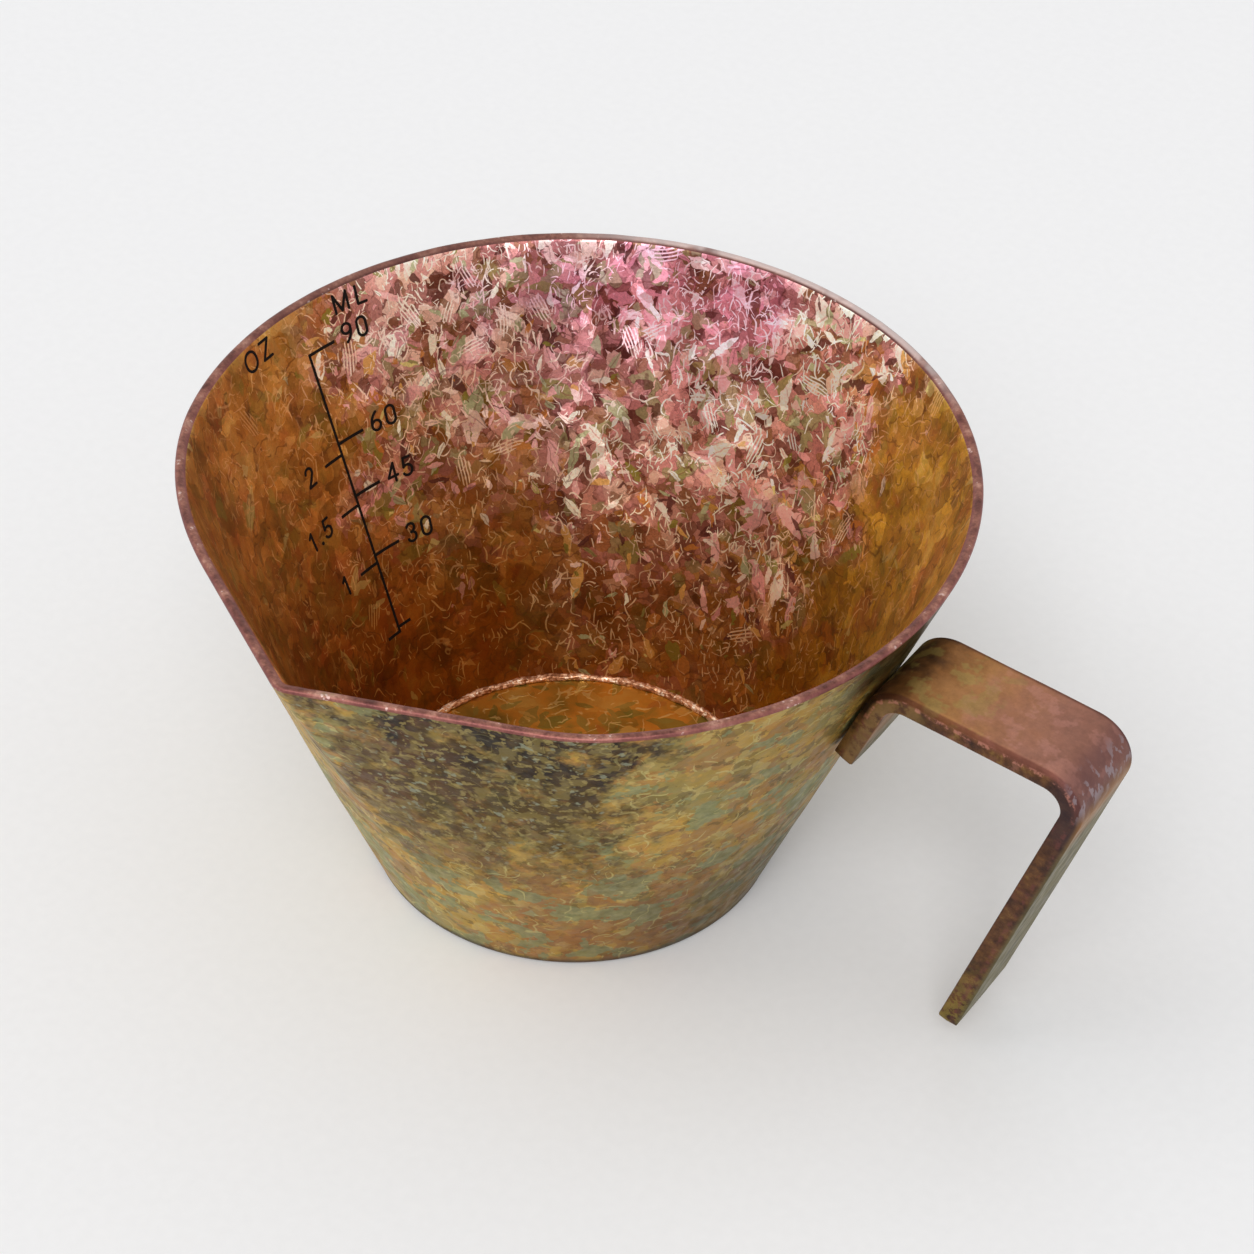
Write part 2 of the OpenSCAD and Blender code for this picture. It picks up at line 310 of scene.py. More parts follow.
def end_ring(outline, at, h, sign, bow, inset, back, blend):
    """One ring of the strap at a place on its line, with the line's heading h.

    Near an end it is bowed by a share, blend, of the end's bow, pulled back from the end, and
    shrunk by inset for the round edge. With a blend of 0 it is a plain ring.
    """
    along = Vector((math.cos(h), math.sin(h)))
    left = Vector((-math.sin(h), math.cos(h)))
    ring = []
    for u, v in outline:
        u_in = u * (1 - inset / (STRAP_W / 2))
        v_in = v * (1 - inset / (STRAP_T / 2))
        p = at + sign * (bow_back(u_in, bow) * blend + back) * along + v_in * left
        ring.append((p[0], u_in, p[1]))
    return ring


def strap_handle():
    """The bent strap, with rounded edges, bowed ends and faint hammer marks."""
    outline = strap_outline()
    line = strap_line(RING_STEP)
    first, last = line[0], line[-1]
    quarter = [math.pi / 2 * i / 4 for i in range(5)]
    caps = [(END_ROUND * (1 - math.sin(t)), END_ROUND * (1 - math.cos(t))) for t in quarter]
    rings = [end_ring(outline, *first, 1, TAB_BOW, inset, back, 1) for inset, back in caps]
    for back in END_STEPS:
        rings.append(end_ring(outline, *first, 1, TAB_BOW, 0, back, 1 - back / END_REACH))
    for at, h in line:
        if (at - first[0]).length > END_REACH and (at - last[0]).length > END_REACH:
            rings.append(end_ring(outline, at, h, 1, 1, 0, 0, 0))
    for back in reversed(END_STEPS):
        rings.append(end_ring(outline, *last, -1, LEG_BOW, 0, back, 1 - back / END_REACH))
    for inset, back in reversed(caps):
        rings.append(end_ring(outline, *last, -1, LEG_BOW, inset, back, 1))
    count = len(outline)
    verts = [hammered(p) for ring in rings for p in ring]
    faces = ring_faces(len(rings), count) + cap_faces(0, count, False)
    faces += cap_faces((len(rings) - 1) * count, count, True)
    return mesh_piece("jigger_handle", verts, faces)


def hammered(p):
    """Presses the strap's edges in a little, towards its own middle plane."""
    return (p[0], p[1] * (1 - EDGE_WEAR * relief(p, 5.0, 2.2)), p[2])


def cap_faces(start, count, far):
    """Closes an end: quads from the outer face's row to the inner face's row, and its two sides."""
    half = count // 2
    faces = [(start + i, start + i + 1, start + half + ACROSS - i - 1, start + half + ACROSS - i)
             for i in range(ACROSS)]
    faces.append(tuple(range(start + ACROSS, start + half + 1)))
    faces.append(tuple(list(range(start + half + ACROSS, start + count)) + [start]))
    return faces if far else [tuple(reversed(face)) for face in faces]


# ---- meshes ----


def mesh_piece(name, verts, faces, mats=None):
    mesh = bpy.data.meshes.new(name)
    mesh.from_pydata([Vector(v) * MM for v in verts], [], faces)
    mesh.validate()
    piece = bpy.data.objects.new(name, mesh)
    bpy.context.scene.collection.objects.link(piece)
    if mats:
        mesh.polygons.foreach_set("material_index", mats)
    outward(mesh)
    mesh.polygons.foreach_set("use_smooth", [True] * len(mesh.polygons))
    mesh.update()
    return piece


def outward(mesh):
    """Turns the faces so that the closed mesh holds a positive volume."""
    bm = bmesh.new()
    bm.from_mesh(mesh)
    bmesh.ops.recalc_face_normals(bm, faces=bm.faces)
    if bm.calc_volume(signed=True) < 0:
        bmesh.ops.reverse_faces(bm, faces=bm.faces)
    bm.to_mesh(mesh)
    bm.free()


# ---- node helpers ----


def rgb(r, g, b):
    """A colour as it shows on a screen, 0 to 255, as the linear values that Blender takes."""
    linear = (((c / 255 + 0.055) / 1.055) ** 2.4 if c > 10 else c / 255 / 12.92 for c in (r, g, b))
    return tuple(linear) + (1.0,)


class Paint:
    """Builds one material's nodes. Most methods return a socket that other methods take."""

    def __init__(self, name):
        self.mat = bpy.data.materials.new(name)
        self.mat.use_nodes = True
        self.nodes = self.mat.node_tree.nodes
        self.links = self.mat.node_tree.links
        self.nodes.clear()
        place = self.add("ShaderNodeTexCoord").outputs["Object"]
        self.mm = self.vec("SCALE", place, scale=1000.0)

    def add(self, kind, inputs=None, **props):
        """A node with its properties and inputs: a socket is linked, a constant is set."""
        node = self.nodes.new(kind)
        for key, value in props.items():
            setattr(node, key, value)
        for key, value in (inputs or {}).items():
            if isinstance(value, bpy.types.NodeSocket):
                self.links.new(value, node.inputs[key])
            elif value is not None:
                node.inputs[key].default_value = value
        return node

    def num(self, operation, a, b=None):
        return self.add("ShaderNodeMath", {0: a, 1: b}, operation=operation).outputs[0]

    def vec(self, operation, a, b=None, scale=None):
        """Vector maths; scale is for the SCALE operation."""
        node = self.add("ShaderNodeVectorMath", {0: a, 1: b, "Scale": scale}, operation=operation)
        return node.outputs["Value" if operation in ("DOT_PRODUCT", "LENGTH") else "Vector"]

    def between(self, value, low, high, to_low=0.0, to_high=1.0, shape="SMOOTHSTEP"):
        """Maps low..high to to_low..to_high, and holds the ends."""
        inputs = {0: value, 1: low, 2: high, 3: to_low, 4: to_high}
        return self.add("ShaderNodeMapRange", inputs, interpolation_type=shape).outputs[0]

    def mix(self, fac, a, b, blend="MIX"):
        inputs = {0: fac, 6: a, 7: b}
        return self.add("ShaderNodeMix", inputs, data_type="RGBA", blend_type=blend).outputs[2]

    def tint(self, fac, colour, by):
        """Multiplies a colour by another, as far as fac says."""
        return self.mix(fac, colour, by, "MULTIPLY")

    def noise(self, size, detail, rough=0.5, where=None, colour=False):
        """Noise whose lumps are about size millimetres across."""
        inputs = {"Vector": where or self.mm, "Scale": 1 / size, "Detail": detail, "Roughness": rough}
        return self.add("ShaderNodeTexNoise", inputs).outputs["Color" if colour else "Fac"]

    def cells(self, size, where=None, metric="EUCLIDEAN", feature="F1"):
        """Voronoi cells about size millimetres across."""
        inputs = {"Vector": where or self.mm, "Scale": 1 / size}
        return self.add("ShaderNodeTexVoronoi", inputs, distance=metric, feature=feature)

    def shifted(self, x, y, z, where=None):
        """The place, moved by so many millimetres, so that a noise comes out different."""
        return self.vec("ADD", where or self.mm, (x, y, z))

    def moved(self, amount, size, detail=1.0):
        """The place, pushed about by noise."""
        push = self.vec("SUBTRACT", self.noise(size, detail, colour=True), (0.5, 0.5, 0.5))
        return self.vec("ADD", self.mm, self.vec("SCALE", push, scale=2 * amount))

    def sum(self, first, *others):
        """Adds sockets and numbers."""
        for other in others:
            first = self.num("ADD", first, other)
        return first

    def times(self, first, *others):
        """Multiplies sockets and numbers."""
        for other in others:
            first = self.num("MULTIPLY", first, other)
        return first

    def less(self, a, b):
        return self.num("LESS_THAN", a, b)

    def centred(self, value):
        return self.num("SUBTRACT", value, 0.5)

    def grey(self, value):
        """A grey of that brightness."""
        return self.add("ShaderNodeCombineColor", {0: value, 1: value, 2: value}).outputs[0]

    def split(self, colour):
        """The three parts of a colour."""
        return self.add("ShaderNodeSeparateColor", {0: colour}).outputs

    def ramp(self, fac, stops, shape="LINEAR"):
        """A colour ramp; stops are (position, red, green, blue)."""
        node = self.add("ShaderNodeValToRGB", {0: fac})
        band = node.color_ramp
        band.interpolation = shape
        while len(band.elements) < len(stops):
            band.elements.new(1.0)
        for element, (at, *colour) in zip(band.elements, stops):
            element.position = at
            element.color = rgb(*colour)
        return node.outputs[0]

    def axis(self, which, vector=None):
        """X, Y or Z of a vector, for 0, 1 or 2, or else of the place in millimetres."""
        return self.add("ShaderNodeSeparateXYZ", {0: vector or self.mm}).outputs[which]

    def normal(self, which):
        """X, Y or Z of the surface's normal."""
        return self.axis(which, self.add("ShaderNodeNewGeometry").outputs["Normal"])

    def outward(self):
        """The level direction from the cup's axis to this place."""
        return self.vec("NORMALIZE", self.vec("MULTIPLY", self.mm, (1, 1, 0)))

    def sector(self, azimuth, inner, outer, wander=0.0):
        """1 within inner degrees of an azimuth, 0 beyond outer degrees; wander frays its border."""
        t = math.radians(azimuth)
        facing = self.vec("DOT_PRODUCT", self.outward(), (math.cos(t), math.sin(t), 0))
        if wander:
            facing = self.num("ADD", facing, wander)
        return self.between(facing, math.cos(math.radians(outer)), math.cos(math.radians(inner)))

    def shader(self, colour, metallic, roughness, height, distance, specular=0.5, normal=None):
        """Ends the material: a Principled shader, with a bump of height times distance in mm."""
        bump = self.add("ShaderNodeBump", {"Strength": 1.0, "Distance": distance * MM,
                                           "Height": height, "Normal": normal})
        node = self.add("ShaderNodeBsdfPrincipled", {
            "Base Color": colour, "Metallic": metallic, "Roughness": roughness,
            "Specular IOR Level": specular, "Normal": bump.outputs[0]})
        self.add("ShaderNodeOutputMaterial", {"Surface": node.outputs[0]})
        return self.mat

    def tilted(self, colour, amount):
        """The surface normal, tipped a random way in each flake."""
        normal = self.add("ShaderNodeNewGeometry").outputs["Normal"]
        tip = self.vec("SUBTRACT", colour, (0.5, 0.5, 0.5))
        return self.vec("NORMALIZE", self.vec("ADD", normal, self.vec("SCALE", tip, scale=amount)))


# ---- materials ----


def marks(p, place, face, spacing, reach, width, share, upright, seed, taper=2.0, flow=0.0):
    """Separate pointed marks, one in a share of the cells, each with its own direction.

    face points out of the surface. spacing, reach and width are the marks' distance, half length
    and half width in millimetres. upright above 1 makes them lean along Z. A taper of 1 makes
    diamonds and 2 makes lens shapes. With a flow size in millimetres, neighbours lean alike.
    Gives how far a point is inside a mark, which is -1 in cells with no mark, then the distance
    across the mark, and the mark's random values.
    """
    where = p.shifted(seed, -2 * seed, 3 * seed, place)
    cell = p.cells(spacing, where)
    pick = p.split(cell.outputs["Color"])
    offset = p.vec("SUBTRACT", where, cell.outputs["Position"])
    # A second random vector, made from the cell's own, gives the direction
    turned = p.vec("FRACTION", p.vec("SCALE", cell.outputs["Color"], scale=7.0))
    if flow:
        turned = p.mix(0.75, turned, p.noise(flow, 1, where=where, colour=True))
    lean = p.vec("MULTIPLY", p.vec("SUBTRACT", turned, (0.5, 0.5, 0.5)), (1.0, 1.0, upright))
    way = p.vec("NORMALIZE", p.vec("CROSS_PRODUCT", lean, face))
    across = p.vec("DOT_PRODUCT", offset, way)
    far = p.num("POWER", p.times(p.vec("LENGTH", offset), 1 / reach), taper)
    inside = p.sum(width, p.times(far, -width), p.times(p.num("ABSOLUTE", across), -1.0))
    held = p.less(pick[1], share)
    return p.sum(p.times(p.sum(inside, 1.0), held), -1.0), across, pick


def flake_layer(p, place, size):
    """A random colour per flake, and how far a point is from the flake's edge, in cell sizes."""
    near = p.cells(size, place, "MANHATTAN")
    far = p.cells(size, place, "MANHATTAN", "F2")
    edge = p.num("SUBTRACT", far.outputs["Distance"], near.outputs["Distance"])
    return near.outputs["Color"], edge


def stars(p, place, size, reach, share):
    """Leaves with several points, in a share of the cells: 1 inside, and their random values."""
    cell = p.cells(size, place, "MINKOWSKI")
    cell.inputs["Exponent"].default_value = 0.7
    pick = p.split(cell.outputs["Color"])
    body = p.between(cell.outputs["Distance"], reach, reach * 0.95)
    return p.times(body, p.less(pick[1], share)), pick


def curls(p, place, size, width, patch, share):
    """Thin curved lines: narrow bands of a noise, broken up by a second noise of size patch."""
    line = p.num("ABSOLUTE", p.centred(p.noise(size, 1, where=place)))
    thin = p.between(line, width, width * 0.4)
    return p.times(thin, p.between(p.noise(patch, 1), share, share + 0.04))


def inside_zones(p):
    """How pink, magenta, golden, deep and lit the inner wall is at a place, each 0 to 1: deep is painted
    shade, lit is painted highlight, and pink is partly a painted reflection.
    """
    z = p.axis(2)
    wander = p.times(p.centred(p.noise(8, 3)), 0.5)
    drop = p.sum(z, p.times(wander, 30))
    # The rose back and core are patina colour and partly a painted reflection of the light on the back
    # wall
    back = p.times(p.sector(128, 28, 56, wander), p.between(drop, 8, 40))
    core = p.times(p.sector(98, 23, 44, wander), p.between(z, 2, 28, 0.3, 1.0))
    magenta = p.times(p.sector(113, 8, 30, wander), p.between(z, 22, 42))
    gold = p.sector(30, 38, 64, wander)
    # lit: painted highlight, a bright patch on the back wall; with brim, also a band along the brim at
    # the back left
    lit = p.times(p.sector(90, 18, 42, wander), p.between(z, 6, 30, 0.5, 1.0),
                  p.between(z, 46, 40, 0.5, 1.0))
    brim_highlight = p.times(p.sector(150, 16, 30, wander), p.between(z, 38, 44, 0.0, 0.6))
    pink = p.num("MAXIMUM", back, core)
    # Painted shade in the lower cup, weaker where it is pink; its tints also warm the colour
    deep_shade = p.times(p.between(z, 31, 8), p.sum(0.9, p.times(pink, -0.55)))
    return pink, magenta, gold, deep_shade, p.num("MAXIMUM", lit, brim_highlight)


def inside_ground(p, pink, gold, place):
    """Orange brown on the left, gold by the handle and rose at the back, with soft flakes."""
    upright = p.vec("MULTIPLY", place, (1.0, 1.0, 0.5))
    flakes, edge = flake_layer(p, place, 2.8)
    pick = p.split(flakes)
    grain = p.centred(p.noise(0.25, 2, 0.7))
    value = p.sum(p.times(p.noise(5.5, 3, 0.55), 1.1),
                  p.times(p.noise(1.3, 3, 0.6, where=upright), 0.7), -0.41,
                  p.times(p.centred(pick[0]), 0.3), p.times(grain, 0.2))
    orange = p.ramp(value, [(0.15, 104, 66, 24), (0.4, 164, 108, 42), (0.6, 198, 134, 56),
                            (0.85, 206, 162, 84)])
    golden = p.ramp(value, [(0.15, 136, 100, 30), (0.4, 188, 142, 42), (0.6, 220, 170, 54),
                            (0.85, 228, 194, 90)])
    colour = p.mix(gold, orange, golden)
    olive = p.between(p.noise(4.2, 3, 0.55, where=p.shifted(31, 0, 0, place)), 0.55, 0.6)
    colour = p.mix(p.times(olive, 0.5), colour, rgb(134, 112, 40))
    rust = p.between(p.noise(4.6, 3, 0.55, where=p.shifted(0, 57, 0, place)), 0.54, 0.62)
    colour = p.mix(p.times(rust, 0.5), colour, rgb(178, 92, 48))
    rough = p.sum(value, p.times(p.centred(pick[2]), 0.5), p.times(grain, 0.3))
    rosy = p.ramp(rough, [(0.08, 96, 52, 42), (0.34, 150, 94, 76), (0.54, 188, 126, 112),
                          (0.74, 218, 160, 150), (0.95, 240, 196, 180)])
    colour = p.mix(pink, colour, rosy)
    rim = p.times(p.between(edge, 0.06, 0.02), p.between(p.noise(1.6, 1), 0.48, 0.54))
    tint = p.mix(pink, rgb(218, 166, 98), rgb(246, 206, 198))
    colour = p.mix(p.times(rim, p.sum(0.2, p.times(pink, 0.35))), colour, tint)
    return colour, flakes


def either(p, chance, pick, seldom, often):
    """One of two colours for each whole leaf, by its random value: often where chance is high."""
    return p.mix(p.less(pick[2], chance), seldom, often)


def mosaic(p, colour, pink, place, size, seed, share):
    """Torn flakes that touch each other, each with its own tone and a thin dark border."""
    where = p.shifted(seed, seed, -seed, place)
    flakes, edge = flake_layer(p, where, size)
    pick = p.split(flakes)
    back = p.ramp(pick[0], [(0.0, 170, 110, 104), (0.18, 214, 152, 142), (0.32, 152, 146, 104),
                            (0.46, 98, 52, 44), (0.6, 198, 130, 128), (0.74, 130, 86, 54),
                            (0.88, 238, 194, 176)], "CONSTANT")
    side = p.ramp(pick[0], [(0.0, 140, 92, 36), (0.2, 188, 130, 58), (0.4, 126, 112, 46),
                            (0.55, 160, 96, 46), (0.8, 198, 150, 76)], "CONSTANT")
    amount = p.times(p.less(pick[1], share), p.sum(0.22, p.times(pink, 0.55)))
    colour = p.mix(amount, colour, either(p, pink, pick, side, back))
    border = p.times(p.between(edge, 0.05, 0.015), p.between(p.noise(1.8, 1, where=where), 0.44, 0.5))
    line = p.mix(pink, rgb(96, 60, 26), rgb(88, 42, 36))
    return p.mix(p.times(border, p.sum(0.2, p.times(pink, 0.4))), colour, line)


def inside_leaves(p, colour, pink, deep_shade, place, out):
    """A mosaic in two sizes, darkened low down by painted shade, then leaves and pointed shards in three
    sizes.
    """
    colour = mosaic(p, colour, pink, place, 2.4, 9.3, 0.85)
    colour = mosaic(p, colour, pink, place, 1.3, 27.7, 0.4)
    # Painted shade low in the cup, a little warmer too
    colour = p.tint(deep_shade, colour, rgb(202, 168, 118))
    star, pick = stars(p, place, 4.4, 0.66, p.sum(0.1, p.times(pink, 0.24)))
    back = p.ramp(pick[0], [(0.0, 166, 166, 124), (0.45, 232, 170, 172),
                            (0.7, 148, 130, 76)], "CONSTANT")
    colour = p.mix(p.times(star, 0.75), colour, p.mix(pink, rgb(150, 134, 62), back))
    crowd = p.between(p.noise(5.0, 3, 0.6, where=place), 0.44, 0.56, 0.4, 1.3)
    # The shards' spacing, reach, width and seed
    for spacing, reach, width, seed in (
            (3.6, 2.8, 1.2, 11.7), (2.5, 2.0, 0.8, 23.1), (1.5, 1.2, 0.5, 37.9)):
        share = p.times(p.sum(0.16, p.times(pink, 0.34)), crowd)
        inside, across, pick = marks(p, place, out, spacing, reach, width, share, 1.3, seed, 1.0)
        side = p.ramp(pick[0], [(0.0, 192, 122, 60), (0.3, 222, 168, 96), (0.5, 138, 126, 54),
                                (0.7, 136, 84, 38), (0.88, 214, 200, 128)], "CONSTANT")
        back = p.ramp(pick[0], [(0.0, 238, 178, 174), (0.25, 255, 220, 208), (0.42, 178, 180, 140),
                                (0.54, 92, 48, 42), (0.66, 218, 152, 152), (0.8, 150, 140, 84),
                                (0.88, 255, 248, 230)], "CONSTANT")
        leaf = p.between(inside, 0, 0.05)
        amount = p.times(leaf, p.between(pink, 0, 0.5, 0.42, 0.9))
        colour = p.mix(amount, colour, either(p, pink, pick, side, back))
        vein = p.times(leaf, p.between(p.num("ABSOLUTE", across), 0.09, 0.03), p.less(pick[2], 0.25))
        colour = p.mix(p.times(vein, 0.5), colour, p.mix(pink, rgb(118, 74, 32), rgb(134, 74, 68)))
    return colour


def inside_strokes(p, pink, out):
    """Fine bright strokes: single ones, crowds that lean one way, a few bundles, and long curves."""
    place = p.moved(0.3, 3.0)
    crowd = p.between(p.noise(4.2, 3, 0.6, where=p.shifted(0, 0, 71, place)), 0.44, 0.58, 0.2, 1.6)
    strokes = 0.0
    # Spacing, reach, width, share everywhere, further share where it is pink, and seed
    for spacing, reach, width, base, more, seed in (
            (2.1, 1.9, 0.11, 0.24, 0.2, 41.3), (1.2, 1.15, 0.09, 0.2, 0.36, 61.1),
            (0.9, 0.8, 0.08, 0.1, 0.34, 83.9)):
        share = p.times(p.sum(base, p.times(pink, more)), crowd)
        thin, _, _ = marks(p, place, out, spacing, reach, width, share, 1.8, seed, 2.0, 5.0)
        strokes = p.num("MAXIMUM", strokes, p.between(thin, 0, 0.03))
    bundles = p.sum(0.04, p.times(pink, 0.14))
    patch, across, _ = marks(p, place, out, 3.6, 2.0, 1.1, bundles, 1.6, 53.9)
    comb = p.times(p.between(patch, 0, 0.1), p.between(p.num("PINGPONG", across, 0.17), 0.09, 0.05))
    strokes = p.num("MAXIMUM", strokes, comb)
    return p.num("MAXIMUM", strokes, p.times(curls(p, place, 2.4, 0.014, 1.8, 0.49), 0.7))


def inside_copper():
    """The inner wall: a brown-copper ground, torn heat-tinted leaves and fine bright strokes, with
    painted shade low down and painted highlights at the back.
    """
    p = Paint("patina_inside")
    pink, magenta, gold, deep_shade, lit = inside_zones(p)
    place = p.moved(0.5, 1.4, detail=3.0)
    out = p.outward()
    ground, flakes = inside_ground(p, pink, gold, place)
    colour = inside_leaves(p, ground, pink, deep_shade, place, out)
    strokes = inside_strokes(p, pink, out)
    shade = p.times(curls(p, place, 2.9, 0.022, 1.5, 0.47), 0.55)
    colour = p.mix(shade, colour, p.mix(pink, rgb(104, 64, 26), rgb(96, 48, 42)))
    tint = p.mix(pink, rgb(236, 190, 124), rgb(255, 232, 218))
    colour = p.mix(p.times(strokes, p.sum(0.5, p.times(pink, 0.45))), colour, tint)
    colour = p.tint(magenta, colour, rgb(236, 206, 246))
    stipple = p.between(p.noise(0.24, 2, 0.8), 0.3, 0.7, 0.76, 1.2, "LINEAR")
    colour = p.tint(p.sum(0.5, p.times(pink, 0.5)), colour, p.grey(stipple))
    # Painted shade low in the cup again, over the leaves and strokes
    colour = p.tint(deep_shade, colour, rgb(234, 224, 196))
    # Painted highlight: the colour is lightened where lit says
    colour = p.mix(lit, colour, (0.34, 0.34, 0.28, 1.0), "DODGE")
    # The bump follows plain noise only: Cycles works its height out three times over, and the
    # whole pattern as a height is more than its shader stack holds
    height = p.sum(p.times(p.noise(1.1, 3, 0.6), 0.8), p.times(p.noise(0.35, 2), 0.4))
    return p.shader(colour, 0.7, 0.4, height, 0.03, 0.3, p.tilted(flakes, 0.24))


def outside_ground(p, z, wander):
    """Soft ochre, khaki and sage patches, browner low down, with a fine mottle."""
    ground = p.ramp(p.noise(9.0, 3, 0.55), [(0.32, 150, 138, 88), (0.45, 172, 148, 86),
                                            (0.56, 190, 154, 76), (0.68, 168, 152, 96)])
    # Size, offset, threshold, softness, strength and colour
    for size, offset, level, soft, strength, tint in (
            (7.0, 3.0, 0.51, 0.02, 0.6, rgb(146, 140, 96)),
            (6.0, 13.0, 0.54, 0.012, 0.6, rgb(200, 162, 88)),
            (5.0, 29.0, 0.55, 0.012, 0.6, rgb(156, 114, 78)),
            (3.6, 7.0, 0.57, 0.01, 0.6, rgb(124, 106, 60)),
            (3.0, 41.0, 0.57, 0.01, 0.6, rgb(184, 134, 76)),
            (2.4, 37.0, 0.58, 0.01, 0.6, rgb(198, 180, 124)),
            (1.7, 53.0, 0.6, 0.01, 0.55, rgb(104, 86, 50))):
        lump = p.noise(size, 3, 0.58, where=p.shifted(offset, -offset, 2 * offset))
        amount = p.times(p.between(lump, level, level + soft), strength)
        ground = p.mix(amount, ground, tint)
    rust = p.times(p.sector(-48, 12, 34, wander), p.between(z, 24, 14))
    ground = p.mix(p.times(rust, p.between(p.noise(4.0, 3), 0.42, 0.46), 0.6), ground, rgb(160, 108, 70))
    fleck = p.between(p.noise(0.6, 3, 0.6), 0.3, 0.7, 0.88, 1.1, "LINEAR")
    return p.tint(1.0, ground, p.grey(fleck))


def outside_verdigris(p, colour, z, place, dark, wavy):
    """Patches of verdigris with clear, wavy borders, mostly low, and small pale spots."""
    low = p.between(z, 36, 10, -0.035, 0.02)
    green = p.between(p.sum(wavy, low, p.times(dark, -0.06)), 0.555, 0.562)
    verdigris = p.ramp(p.noise(0.8, 3), [(0.3, 120, 132, 104), (0.7, 158, 166, 134)])
    colour = p.mix(p.times(green, 0.75), colour, verdigris)
    spot, _ = stars(p, place, 2.4, 0.5, 0.08)
    return p.mix(p.times(spot, 0.55), colour, rgb(154, 160, 142))


def outside_gloom(p, colour, place, dark, deepest):
    """Darkens the front below the beak, with plum patches and khaki, black and blue-grey flecks."""
    colour = p.tint(dark, colour, rgb(134, 126, 104))
    colour = p.tint(deepest, colour, rgb(128, 108, 86))
    plum = p.between(p.noise(4.5, 3, 0.58, where=p.shifted(9, 0, 0, place)), 0.42, 0.52)
    colour = p.mix(p.times(dark, plum, p.sector(-88, 8, 20), 0.6), colour, rgb(96, 64, 46))
    # Size, offset, threshold, strength and colour
    for size, offset, level, strength, tint in (
            (2.6, 17.0, 0.53, 0.6, rgb(76, 57, 20)), (0.9, 29.0, 0.56, 0.55, rgb(68, 50, 16)),
            (1.6, 23.0, 0.56, 0.6, rgb(130, 116, 70)), (0.8, 31.0, 0.59, 0.6, rgb(156, 142, 96)),
            (1.0, 43.0, 0.64, 0.7, rgb(140, 148, 142))):
        spot = p.noise(size, 2, 0.5, where=p.shifted(offset, 0, -offset, place))
        amount = p.times(p.between(spot, level - 0.03, level + 0.05), dark, strength)
        colour = p.mix(amount, colour, tint)
    return colour


def outside_copper():
    """The outer wall: ochre and olive patina with verdigris, a dark mottled front, and painted shade on
    the right side, low down, along the foot and beside the tab.
    """
    p = Paint("patina_outside")
    z = p.axis(2)
    place = p.moved(0.6, 3.0)
    out = p.outward()
    wander = p.times(p.centred(p.noise(5, 4, 0.65)), 0.5)
    height_at = p.sum(z, p.times(wander, 30))
    dark = p.times(p.sector(-70, 5, 30, wander), p.between(height_at, 11, 28))
    deepest = p.times(p.sector(-69, 6, 24, wander), p.between(height_at, 29, 41))
    wavy = p.noise(5.0, 4, 0.6, where=p.vec("MULTIPLY", p.mm, (1.0, 1.0, 1.2)))
    colour = outside_ground(p, z, wander)
    colour = outside_verdigris(p, colour, z, place, dark, wavy)
    inside, _, pick = marks(p, place, out, 3.1, 2.2, 1.0, 0.22, 0.6, 29.9, 1.0)
    leaf_tint = p.ramp(pick[0], [(0.0, 198, 160, 86), (0.4, 148, 142, 92),
                                 (0.7, 146, 104, 66)], "CONSTANT")
    colour = p.mix(p.times(p.between(inside, 0, 0.06), 0.4), colour, leaf_tint)
    colour = outside_gloom(p, colour, place, dark, deepest)

    busy = p.between(p.noise(9, 2, where=p.shifted(0, 0, 40)), 0.42, 0.58, 0.05, 0.45)
    thin, _, _ = marks(p, place, out, 2.3, 1.7, 0.14, busy, 0.8, 17.3, 2.0, 6.0)
    curves = p.times(curls(p, place, 3.0, 0.016, 1.8, 0.52), 0.9)
    strokes = p.num("MAXIMUM", p.between(thin, 0, 0.05), curves)
    colour = p.mix(p.times(strokes, p.sum(0.55, p.times(dark, -0.45))), colour, rgb(208, 202, 152))
    # Painted shade on the right side, towards the handle, strongest low down
    lean = p.between(z, 4, 26, 1.0, 0.3)
    colour = p.tint(p.times(p.sector(10, 10, 62, wander), lean), colour, rgb(172, 172, 176))
    # Painted shade low down on the right front, near the floor
    low_right_shade = p.times(p.between(z, 22, 4), p.sector(-20, 20, 60, wander))
    colour = p.tint(p.times(low_right_shade, 0.6), colour, rgb(216, 210, 206))
    # Painted shade: a dark band along the foot where it meets the floor
    colour = p.mix(p.times(p.between(z, 1.4, 0.2), 0.8), colour, rgb(58, 42, 32))
    # Painted shadow of the tab and arm on the wall beside the tab, near-black
    tab_shadow = p.times(p.sector(0, 9, 17), p.between(z, 37, 41))
    colour = p.mix(p.times(tab_shadow, 0.8), colour, rgb(26, 16, 8))
    colour = p.tint(1.0, colour, rgb(255, 248, 216))
    height = p.sum(p.noise(0.9, 4, 0.6), p.times(wavy, 0.9))
    rough = p.between(p.noise(1.2, 2), 0.3, 0.7, 0.38, 0.58)
    metallic = p.sum(0.55, p.times(dark, -0.45))
    return p.shader(colour, metallic, rough, height, 0.05, 0.15)


